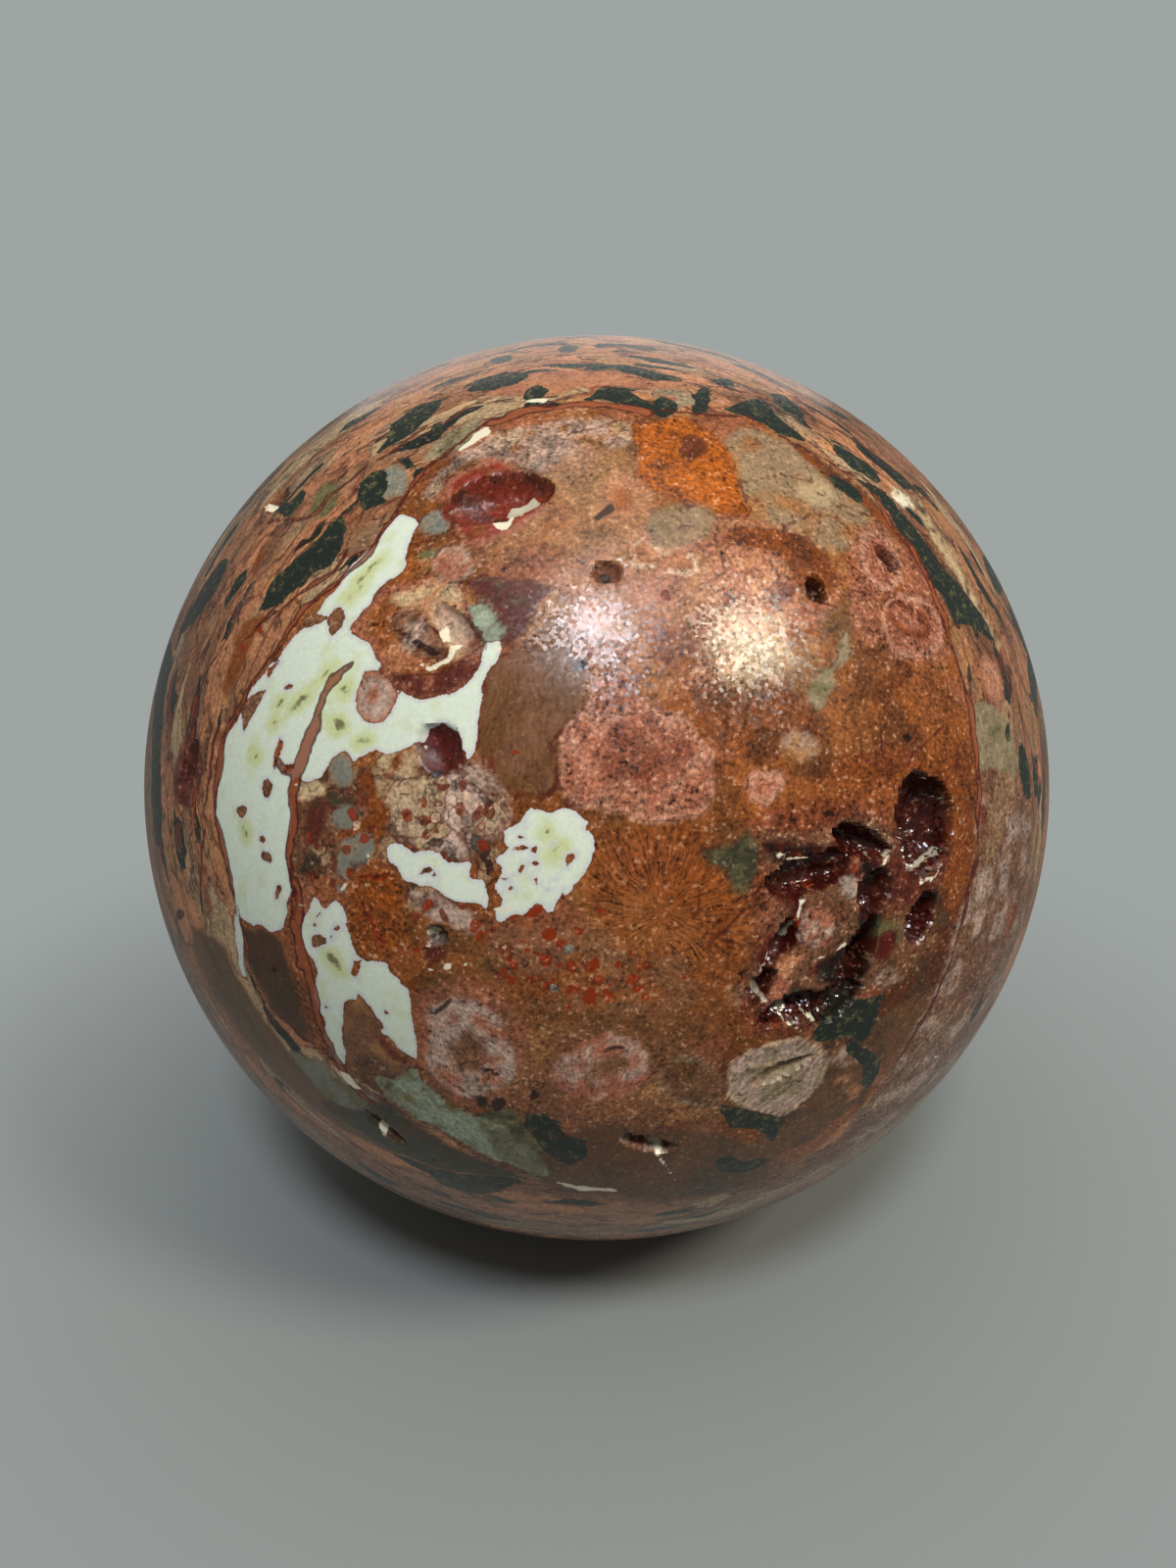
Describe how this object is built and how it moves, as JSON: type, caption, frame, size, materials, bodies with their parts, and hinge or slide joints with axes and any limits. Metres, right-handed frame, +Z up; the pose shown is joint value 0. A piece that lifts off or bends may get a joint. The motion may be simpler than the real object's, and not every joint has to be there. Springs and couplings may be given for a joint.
{
  "type": "polished calcite sphere",
  "caption": "Polished ball of brecciated calcite with open crystal pockets and a small flat ground under it to rest on.",
  "frame": {"origin": "centre of the small flat that the ball rests on", "axes": "+Z up through the ball's centre; -Y towards the viewer of the picture, on the side with the large pale mint patch"},
  "size_m": [0.1, 0.1, 0.0994],
  "materials": {
    "polished_breccia": "polished, salmon and orange-brown with pale mint and dark green patches and glassy dark red pockets"
  },
  "bodies": {
    "root": {"calcite_sphere": "polished_breccia"}
  },
  "joints": []
}
